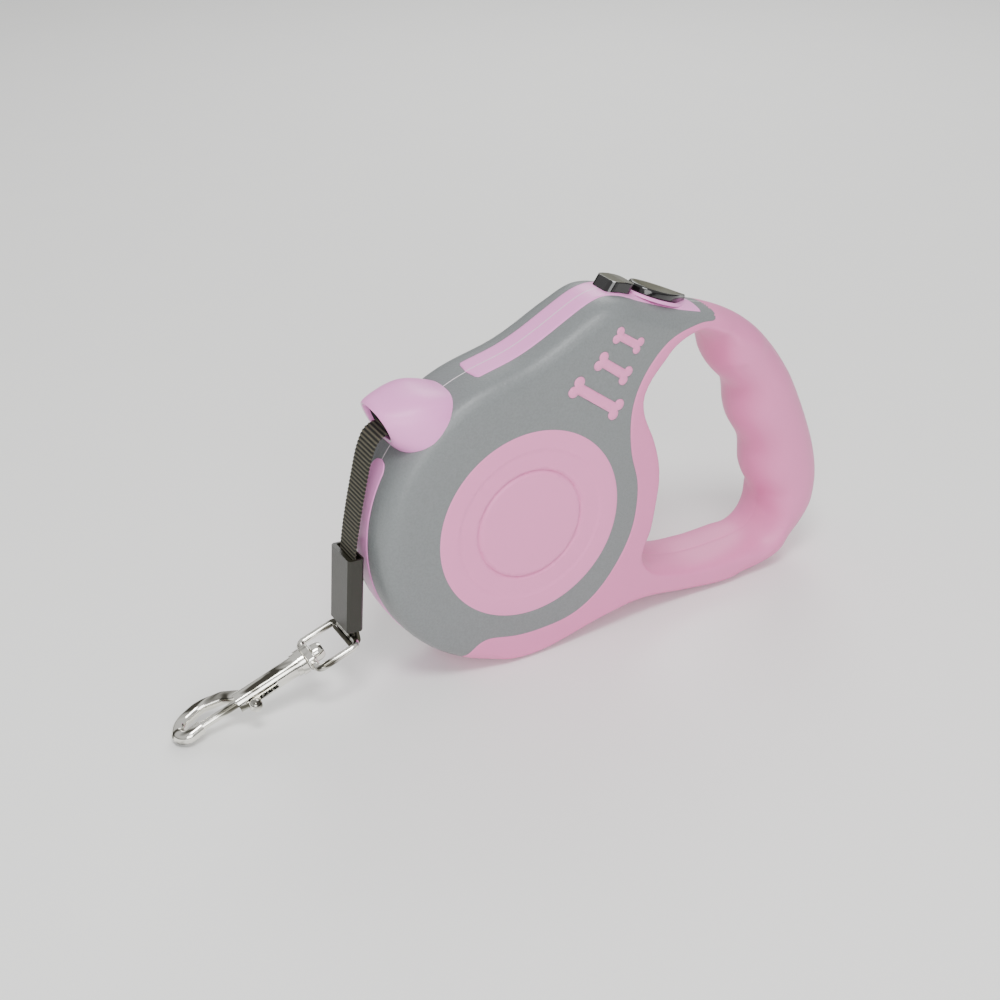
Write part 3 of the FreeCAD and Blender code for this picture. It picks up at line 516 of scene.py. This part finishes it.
lift = np.where(in_zone, 0.16, -0.10) * step(d_border, 0.0, 0.5) - 0.14 * (1 - step(d_border, 0.0, 0.35))
rim_fade = step(H, 2.0, 8.0)
lift = lift * rim_fade
med = radius < 32.05
lift = np.where(med, 0.10 - 0.35 * step(25.8 - radius, 0.0, 0.6) + 0.22 * step(18.2 - radius, 0.0, 0.5), lift)
groove = np.exp(-((radius - 18.4) / 0.33) ** 2) * 0.85 + np.exp(-((radius - 32.0) / 0.30) ** 2) * 0.22
lift = lift - groove
in_bone = np.zeros(len(pv), bool)
for b in bone_polys:
    in_bone |= inside(pv, b)
kb = tree(np.concatenate(bone_polys))
_, d_bone = near(kb, pv)
lift = lift + np.where(in_bone, 0.10, 0.0) * step(d_bone, 0.05, 0.4) - 0.20 * (1 - step(d_bone, 0.0, 0.32)) * (d_bone < 0.5)
Y = np.minimum(H + lift, HALF_T)
Y = np.maximum(Y, 0)
px, pz = pv[:, 0].copy(), np.maximum(pv[:, 1], GROUND)

# the rim: rows of quads from the parting line to the triangulated side
want = [np.tile((0.0, 1.0, 0.0), (len(tri), 1))]
rim_tri, seam_highlight_flag = [], [np.zeros(len(tri), bool)]
n_o, n_h = len(inner_o), len(inner_h)
for base, nrm, rr, sign, first, count, is_out in ((out_p, out_n, ro, -1, 0, n_o, True), (hole_p, hole_n, rh, 1, n_o, n_h, False)):
    rows_q, rows_y = [base + nrm * sign * 0.05, base.copy()], [np.zeros(count), np.full(count, 0.17)]
    for th in TH[:-1]:
        q = base + nrm * sign * rim_depth(rr, th)[:, None]
        _, do = near(kd_o, q)
        io, _ = near(kd_o, q)
        ih, dh = near(kd_h, q)
        other = rise(dh, dense_rh[ih, 0], dense_rh[ih, 1]) if is_out else rise(do, dense_ro[io, 0], dense_ro[io, 1])
        rows_q.append(q)
        rows_y.append(np.maximum(0.2, thickness(q) * np.sin(th) ** (2 / rr[:, 1]) * other))
    start = len(px)
    for q, y in zip(rows_q, rows_y):
        px, pz, Y = np.concatenate([px, q[:, 0]]), np.concatenate([pz, np.maximum(q[:, 1], GROUND)]), np.concatenate([Y, y])
    ids = [[start + r * count + i for i in range(count)] for r in range(len(rows_q))] + [[where[first + i] for i in range(count)]]
    out2d = nrm if is_out else -nrm
    for r in range(len(ids) - 1):
        for i in range(count):
            j = (i + 1) % count
            rim_tri += [(ids[r][i], ids[r][j], ids[r + 1][j]), (ids[r][i], ids[r + 1][j], ids[r + 1][i])]
    w = np.stack([out2d[:, 0], np.full(count, 0.4), out2d[:, 1]], 1)
    want.append(np.repeat(np.tile(w, (len(ids) - 1, 1)), 2, axis=0))
    seam_highlight_flag.append(np.repeat(np.concatenate([np.full(count, is_out)] + [np.zeros(count, bool)] * (len(ids) - 2)), 2))
tri = np.concatenate([tri, np.array(rim_tri)])
want, seam_highlight_flag = np.concatenate(want), np.concatenate(seam_highlight_flag)
cen = np.stack([px[tri].mean(1), pz[tri].mean(1)], 1)
# only the rim row at the parting line above z=20 gets the pale seam colour, a painted highlight
seam_highlight_flag &= cen[:, 1] > 20

zone_tri = inside(cen, zone_poly)
med_tri = np.hypot(cen[:, 0], cen[:, 1]) < 32.0
bone_tri = np.zeros(len(cen), bool)
for b in bone_polys:
    bone_tri |= inside(cen, b)
well_tri = np.zeros(len(cen), bool)
for w in wells:
    well_tri |= inside(cen, w)


def build(name, mask, side, mats, extra=None):
    faces, w, seam = tri[mask], want[mask], seam_highlight_flag[mask]
    used = np.unique(faces)
    remap = -np.ones(len(px), int)
    remap[used] = np.arange(len(used))
    co = [row(px[i], side * Y[i], pz[i]) for i in used]
    fs = remap[faces]
    # outward winding: side -1 looks towards -Y
    a, b, c = (np.array([co[i] for i in fs[:, k]]) for k in range(3))
    nn = np.cross(b - a, c - a)
    flip = nn[:, 0] * w[:, 0] + side * nn[:, 1] * w[:, 1] + nn[:, 2] * w[:, 2] < 0
    fs[flip] = fs[flip][:, ::-1]
    fs = [list(map(int, f)) for f in fs]
    if extra:
        more_v, more_f = extra
        base = len(co)
        co += more_v
        fs += [[base + i for i in f] for f in more_f]
    me = bpy.data.meshes.new(name)
    me.from_pydata(co, [], fs)
    me.update()
    for m in mats:
        me.materials.append(m)
    for p in me.polygons:
        p.use_smooth = True
    if len(mats) > 1:
        for i in np.nonzero(seam)[0]:
            me.polygons[int(i)].material_index = 1
    return link(bpy.data.objects.new(name, me))


def well_mesh(indices):
    v, f = [], []
    for i in indices:
        x, z = SCREWS[i]
        c = circle(3.1, x, z, 20)
        top = height(c)[0]
        b = len(v)
        v += [row(a, t, q) for (a, q), t in zip(c, top)] + [row(a, HALF_T - 7.0, q) for a, q in c] + [row(x, HALF_T - 7.0, z)]
        for k in range(20):
            j = (k + 1) % 20
            f += [[b + k, b + j, b + 20 + j, b + 20 + k], [b + 20 + k, b + 20 + j, b + 40]]
    return v, f


grey_tri = ~zone_tri & ~med_tri & ~bone_tri
pieces = {}
well_zone = inside(np.array(SCREWS), zone_poly)
for side, tag in ((-1, "left"), (1, "right")):
    cut = well_tri if side == 1 else np.zeros(len(well_tri), bool)
    shell = build("casing_shell_" + tag, grey_tri & ~cut, side, [M["grey"], M["seam"]], well_mesh([i for i in range(5) if not well_zone[i]]) if side == 1 else None)
    grip = build("handle_grip_" + tag, zone_tri & ~med_tri & ~bone_tri & ~cut, side, [M["pink"]], well_mesh([i for i in range(5) if well_zone[i]]) if side == 1 else None)
    disc = build("round_medallion_" + tag, med_tri, side, [M["disc"]])
    bone = build("bone_inlays_" + tag, bone_tri, side, [M["disc"]])
    for ob, node, s in ((shell, "shell_", "grey_shell"), (grip, "grip_", "pink_soft"), (disc, "medallion_", "pink_disc"), (bone, "bones_", "pink_disc")):
        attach(ob, "housing")
        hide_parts(node + tag)
        pieces[node + tag] = ob


# ------------------------------------------------------------------ pink strips that run along the rim, either side of the parting line
def along_outline(start, end):
    """Outline samples from the one nearest start to the one nearest end, the short way round."""
    a = int(np.argmin(((out_p - np.array(start)) ** 2).sum(1)))
    b = int(np.argmin(((out_p - np.array(end)) ** 2).sum(1)))
    n = len(out_p)
    fwd = (b - a) % n
    idx = [(a + i) % n for i in range(fwd + 1)] if fwd <= n - fwd else [(a - i) % n for i in range(n - fwd + 1)]
    return idx


def rim_strip(name, start, end, width, caps, side, mat, lift=0.22):
    idx = along_outline(start, end)
    pts, nrm, rr = out_p[idx], out_n[idx], ro[idx]
    s = np.concatenate([[0], np.cumsum(np.linalg.norm(np.diff(pts, axis=0), axis=1))])
    fine = np.linspace(0, s[-1], int(s[-1] / 0.6))
    P = np.stack([np.interp(fine, s, pts[:, k]) for k in (0, 1)], 1)
    N = np.stack([np.interp(fine, s, nrm[:, k]) for k in (0, 1)], 1)
    N /= np.linalg.norm(N, axis=1)[:, None]
    RR = np.stack([np.interp(fine, s, rr[:, k]) for k in (0, 1)], 1)
    T = thickness(P)
    rows = 15
    v, f = [], []
    for i, (p, n, (r, ex), t) in enumerate(zip(P, N, RR, T)):
        w = width(p[0], p[1])
        for cap, dist in zip(caps, (fine[i], fine[-1] - fine[i])):
            if cap and dist < cap:
                w *= math.sqrt(max(0.0, 1 - (1 - dist / cap) ** 2))
        for k in range(rows):
            u = (k - 1) / (rows - 2) if k else 0.0
            u = u * (1 - 0.16 / max(w, 0.2)) + (0.16 / max(w, 0.2)) if k else 0.0
            y = w * u
            frac = min(1.0, (y / t)) ** ex
            d = r * (1 - (1 - frac) ** (1 / ex))
            up = lift * (1 - max(0.0, (u - 0.86) / 0.14) ** 2 * 1.7)
            q = p - n * (d - up)
            v.append(row(q[0], side * y, max(q[1], GROUND + 0.02)))
    for i in range(len(P) - 1):
        for k in range(rows - 1):
            a = i * rows + k
            quad = [a, a + 1, a + rows + 1, a + rows]
            f.append(quad)
    me = bpy.data.meshes.new(name)
    me.from_pydata(v, [], f)
    me.update()
    c = Vector(row(P[len(P) // 2][0], 0, P[len(P) // 2][1]))
    mid = f[len(f) // 2]
    nn = me.polygons[len(f) // 2].normal
    want = Vector((N[len(P) // 2][0], 0, N[len(P) // 2][1]))
    if nn.dot(want) < 0:
        me.flip_normals()
    for p in me.polygons:
        p.use_smooth = True
    me.materials.append(mat)
    me.materials.append(M["seam"])
    # the row along the parting line on the top strips gets the pale seam colour, a painted highlight
    if name.startswith("top"):
        for i, p in enumerate(me.polygons):
            if i % (rows - 1) == 0:
                p.material_index = 1
    return link(bpy.data.objects.new(name, me))


def top_width(x, z):
    t = min(1.0, max(0.0, (x - 30) / 14))
    return BAND + 1.9 * t * t * (3 - 2 * t)


for side, tag in ((-1, "left"), (1, "right")):
    a = rim_strip("top_strip_" + tag + "_skin", prof([(-0.45, 1.56)])[0], prof([(2.05, 1.78)])[0], top_width, (1.6, 0), side, M["trim"])
    b = rim_strip("front_strip_" + tag + "_skin", prof([(-1.36, 0.86)])[0], prof([(-0.8, -1.35)])[0], lambda x, z: 4.2, (4.0, 0), side, M["trim"])
    for ob, node in ((a, "top_strip_"), (b, "front_strip_")):
        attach(ob, "housing")
        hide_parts(node + tag)


# ------------------------------------------------------------------ nose spout: lofted from the mouth back into the casing
def loft(name, sections, mats, around=48, closed_ends=(False, False), smooth=True, sub=6):
    """sections: (x, z, half height, half width, tilt degrees, fullness) in mm; rings stand across the spout's line."""
    S = np.array(sections, float)
    n = len(S)
    k = np.arange(n)
    fine = np.linspace(0, n - 1, (n - 1) * sub + 1)

    def interp(col):
        m = np.gradient(S[:, col])
        out = []
        for t in fine:
            i = min(n - 2, int(t))
            u = t - i
            out.append((2 * u**3 - 3 * u**2 + 1) * S[i, col] + (u**3 - 2 * u**2 + u) * m[i] + (-2 * u**3 + 3 * u**2) * S[i + 1, col] + (u**3 - u**2) * m[i + 1])
        return np.array(out)
    cols = [interp(c) for c in range(6)]
    v, f = [], []
    for x, z, h, w, tilt, ex in zip(*cols):
        ct, st = math.cos(math.radians(tilt)), math.sin(math.radians(tilt))
        for j in range(around):
            a = 2 * math.pi * j / around
            ca, sa = math.cos(a), math.sin(a)
            u = math.copysign(abs(ca) ** (2 / ex), ca) * w
            q = math.copysign(abs(sa) ** (2 / ex), sa) * h
            v.append(row(x - st * q, u, z + ct * q))
    for i in range(len(fine) - 1):
        for j in range(around):
            b, c = i * around + j, i * around + (j + 1) % around
            f.append([b, c, c + around, b + around])
    me = bpy.data.meshes.new(name)
    me.from_pydata(v, [], f)
    me.update()
    for p in me.polygons:
        p.use_smooth = True
    for m in mats:
        me.materials.append(m)
    return link(bpy.data.objects.new(name, me))


# from deep inside the mouth, forward to the lip, round it, and back over the outside into the casing
nose = loft("nose_spout", [
    (-33.0, 40.0, 3.4, 6.2, 0, 2.6), (-37.5, 40.2, 4.1, 6.5, 6, 2.6), (-40.8, 40.6, 4.8, 6.9, 14, 2.6), (-43.0, 41.0, 5.3, 7.2, 20, 2.5),
    (-43.7, 41.0, 5.9, 7.9, 22, 2.4), (-43.4, 40.6, 6.8, 8.9, 21, 2.4), (-41.9, 40.2, 8.0, 10.2, 17, 2.4), (-38.8, 39.6, 9.3, 12.0, 12, 2.5),
    (-35.0, 39.2, 10.4, 13.2, 7, 2.7), (-31.0, 39.0, 10.9, 13.7, 3, 2.8), (-27.0, 38.6, 10.6, 13.3, 2, 2.8), (-23.0, 37.8, 10.0, 12.2, 0, 2.8),
    (-18.0, 36.6, 9.0, 10.8, 0, 2.7)], [M["trim"], M["inner"], M["seam"]])
# rings inside the mouth get the black moulding as painted shade; rings 23-24 round the lip get the pale seam colour as
# a painted highlight
for i, p in enumerate(nose.data.polygons):
    r_no = i // 48
    p.material_index = 1 if r_no < 15 else (2 if 23 <= r_no < 25 else 0)
nose.data.update()
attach(nose, "housing")
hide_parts("nose_cap")

# ------------------------------------------------------------------ thumb pad with its pink rimmed pocket, and the lock
ALONG, UP, PAD_AT = (0.917, -0.399), (0.399, 0.917), (53.0, 58.6)


def slope(u, y, h):
    return row(PAD_AT[0] + ALONG[0] * u + UP[0] * h, y, PAD_AT[1] + ALONG[1] * u + UP[1] * h)


def leaf_plan(grow=0.0):
    a, b, w = -8.8, 13.2, 7.0
    half = [(b, 0.0), (b * 0.90, w * 0.16), (b * 0.55, w * 0.60), (0, w * 0.95), (a * 0.62, w * 0.84), (a, w * 0.28)]
    pts, _ = spline(half + [(x, -y) for x, y in reversed(half[1:])], 0.6)
    t = np.roll(pts, -1, 0) - np.roll(pts, 1, 0)
    t /= np.linalg.norm(t, axis=1)[:, None]
    n = np.stack([t[:, 1], -t[:, 0]], 1)
    if np.sum(n * pts) < 0:
        n = -n
    return pts + n * grow


def rings_mesh(name, rings, mats, mat_of):
    n = len(rings[0])
    v = [p for r in rings for p in r]
    f, mi = [], []
    for i in range(len(rings) - 1):
        for k in range(n):
            j = (k + 1) % n
            f.append([i * n + k, i * n + j, (i + 1) * n + j, (i + 1) * n + k])
            mi.append(mat_of(i))
    f.append([(len(rings) - 1) * n + k for k in range(n)])
    mi.append(mat_of(len(rings) - 2))
    me = bpy.data.meshes.new(name)
    me.from_pydata(v, [], f)
    me.update()
    for m in mats:
        me.materials.append(m)
    for p, k in zip(me.polygons, mi):
        p.material_index = k
        p.use_smooth = True
    ob = link(bpy.data.objects.new(name, me))
    return ob


rings = []
for grow, h in ((-0.15, 0.05), (0, 0.9), (0, 3.2), (-0.12, 3.75), (-0.42, 4.1), (-0.8, 4.12), (-1.2, 3.95)):
    rings.append([slope(u, y, h) for u, y in leaf_plan(grow)])
base_plan = leaf_plan(-1.2)
mid = base_plan.mean(0)
for k in (0.85, 0.68, 0.5, 0.3, 0.12):
    rings.append([slope(mid[0] + (u - mid[0]) * k, y * k, 3.95 - 1.25 * (1 - k * k)) for u, y in base_plan])
pad = rings_mesh("thumb_brake_pad", rings, [M["black"], M["olive"]], lambda i: 0 if i < 4 else 1)
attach(pad, "brake")
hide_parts("brake_pad")
lip = []
for a in range(11):
    t = math.pi * a / 10
    lip.append([slope(u, y, 0.9 + 0.95 * math.sin(t)) for u, y in leaf_plan(1.25 - 0.85 * math.cos(t))])
lip_ob = rings_mesh("pad_pocket_rim", lip, [M["trim"]], lambda i: 0)
import bmesh
lip_bm = bmesh.new()
lip_bm.from_mesh(lip_ob.data)
lip_bm.faces.ensure_lookup_table()
bmesh.ops.delete(lip_bm, geom=[lip_bm.faces[len(lip_bm.faces) - 1]], context="FACES_ONLY")
lip_bm.to_mesh(lip_ob.data)
lip_bm.free()
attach(lip_ob, "housing")

import bmesh
LOCK_AT, LU, LV = (36.6, 64.6), (0.97, -0.24), (0.24, 0.97)
bmx = bmesh.new()
shape = [(-4.6, -1.6), (5.4, -1.6), (7.3, 4.1), (2.6, 4.75), (-1.9, 4.85)]
near_v = [bmx.verts.new(row(LOCK_AT[0] + LU[0] * u + LV[0] * v, -5.0, LOCK_AT[1] + LU[1] * u + LV[1] * v)) for u, v in shape]
far_v = [bmx.verts.new(row(LOCK_AT[0] + LU[0] * u + LV[0] * v, 5.0, LOCK_AT[1] + LU[1] * u + LV[1] * v)) for u, v in shape]
bmx.faces.new(near_v)
bmx.faces.new(list(reversed(far_v)))
for k in range(len(shape)):
    j = (k + 1) % len(shape)
    bmx.faces.new((near_v[j], near_v[k], far_v[k], far_v[j]))
bmesh.ops.recalc_face_normals(bmx, faces=bmx.faces)
across = [e for e in bmx.edges if abs(e.verts[0].co.y - e.verts[1].co.y) < 1e-6 and abs(e.verts[0].co.z - e.verts[1].co.z) > 0.003]
bmesh.ops.bevel(bmx, geom=across, offset=0.0022, segments=3, profile=0.5, affect="EDGES")
bmesh.ops.bevel(bmx, geom=[e for e in bmx.edges if e.is_manifold and e.calc_face_angle() > 0.5], offset=0.00035, segments=2, profile=0.6, affect="EDGES")
me = bpy.data.meshes.new("lock_button_block")
bmx.to_mesh(me)
bmx.free()
me.materials.append(M["black"])
me.materials.append(M["olive"])
for p in me.polygons:
    if p.normal.z > 0.9:
        p.material_index = 1
lock = link(bpy.data.objects.new("lock_button_block", me))
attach(lock, "lock")
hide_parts("lock_button")

# ------------------------------------------------------------------ tape: flat webbing along a smooth line
ROUTE = [(-38.5, 39.6), (-44.6, 39.4), (-48.2, 33.2), (-50.6, 24.2), (-53.6, 12.4), (-56.0, 0.5), (-57.3, -12.5), (-58.2, -26.8)]
cd = bpy.data.curves.new("tape_line", "CURVE")
cd.dimensions = "3D"
sp = cd.splines.new("NURBS")
sp.points.add(len(ROUTE) - 1)
for p, (x, z) in zip(sp.points, ROUTE):
    p.co = (*row(x, 0, z), 1)
sp.order_u = 3
sp.use_endpoint_u = True
sp.resolution_u = 40
co = link(bpy.data.objects.new("tape_line", cd))
bpy.context.view_layer.update()
dg = bpy.context.evaluated_depsgraph_get()
line_mesh = bpy.data.meshes.new_from_object(co.evaluated_get(dg))
line = [v.co.copy() for v in line_mesh.vertices]
bpy.data.objects.remove(co)


def resample(pts, step_m):
    s = [0.0]
    for a, b in zip(pts, pts[1:]):
        s.append(s[-1] + (b - a).length)
    n = max(2, int(round(s[-1] / step_m)))
    out = []
    for k in range(n + 1):
        t = s[-1] * k / n
        i = max(1, next((j for j in range(1, len(s)) if s[j] >= t - 1e-12), len(s) - 1))
        u = (t - s[i - 1]) / (s[i] - s[i - 1])
        out.append(pts[i - 1].lerp(pts[i], u))
    return out, s[-1]


PITCH = 0.00128
path, tape_length = resample(line, PITCH / 8)


def webbing(name, pts, width, thick, mat, pitch=PITCH, per=8):
    v, f, rib = [], [], []
    cols = 25
    n = len(pts)
    for i, p in enumerate(pts):
        t = (pts[min(n - 1, i + 1)] - pts[max(0, i - 1)]).normalized()
        nn = Vector((-t.z, 0, t.x))
        ph = 2 * math.pi * i / per
        r = 0.5 + 0.5 * math.cos(ph)
        edge = 0.00018 * math.sin(ph)
        for face in (1, -1):
            for k in range(cols):
                u = -1 + 2 * k / (cols - 1)
                slant = 0.35 * u
                rr = 0.5 + 0.5 * math.cos(ph + slant + (0 if face == 1 else math.pi))
                rr = rr ** 1.3
                e = 1 - 0.85 * max(0.0, (abs(u) - 0.9) / 0.1) ** 2
                h = (thick / 2 - 0.00019 * (1 - rr)) * e
                y = u * (width / 2 - 0.0001 + edge * (1 if abs(u) > 0.9 else 0) - 0.00016)
                v.append(p + nn * face * h + Vector((0, y, 0)))
                rib.append(rr)
    row_n = 2 * cols
    for i in range(n - 1):
        for k in range(cols - 1):
            a = i * row_n + k
            f.append([a, a + row_n, a + row_n + 1, a + 1])
            b = i * row_n + cols + k
            f.append([b, b + 1, b + row_n + 1, b + row_n])
        a, b = i * row_n, i * row_n + cols
        f.append([a, b, b + row_n, a + row_n])
        a, b = i * row_n + cols - 1, i * row_n + 2 * cols - 1
        f.append([a, a + row_n, b + row_n, b])
    f.append([k for k in range(cols)] + [cols + k for k in reversed(range(cols))])
    base = (n - 1) * row_n
    f.append([base + k for k in reversed(range(cols))] + [base + cols + k for k in range(cols)])
    me = bpy.data.meshes.new(name)
    me.from_pydata([tuple(q) for q in v], [], f)
    me.update()
    at = me.attributes.new("rib", "FLOAT", "POINT")
    at.data.foreach_set("value", rib)
    for p in me.polygons:
        p.use_smooth = len(p.vertices) == 4
    me.materials.append(mat)
    return link(bpy.data.objects.new(name, me))


tape = webbing("leash_tape", path, 0.011, 0.0009, M["tape_ribs"])
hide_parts("tape")
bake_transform(tape)

print("tape length", round(tape_length, 4))
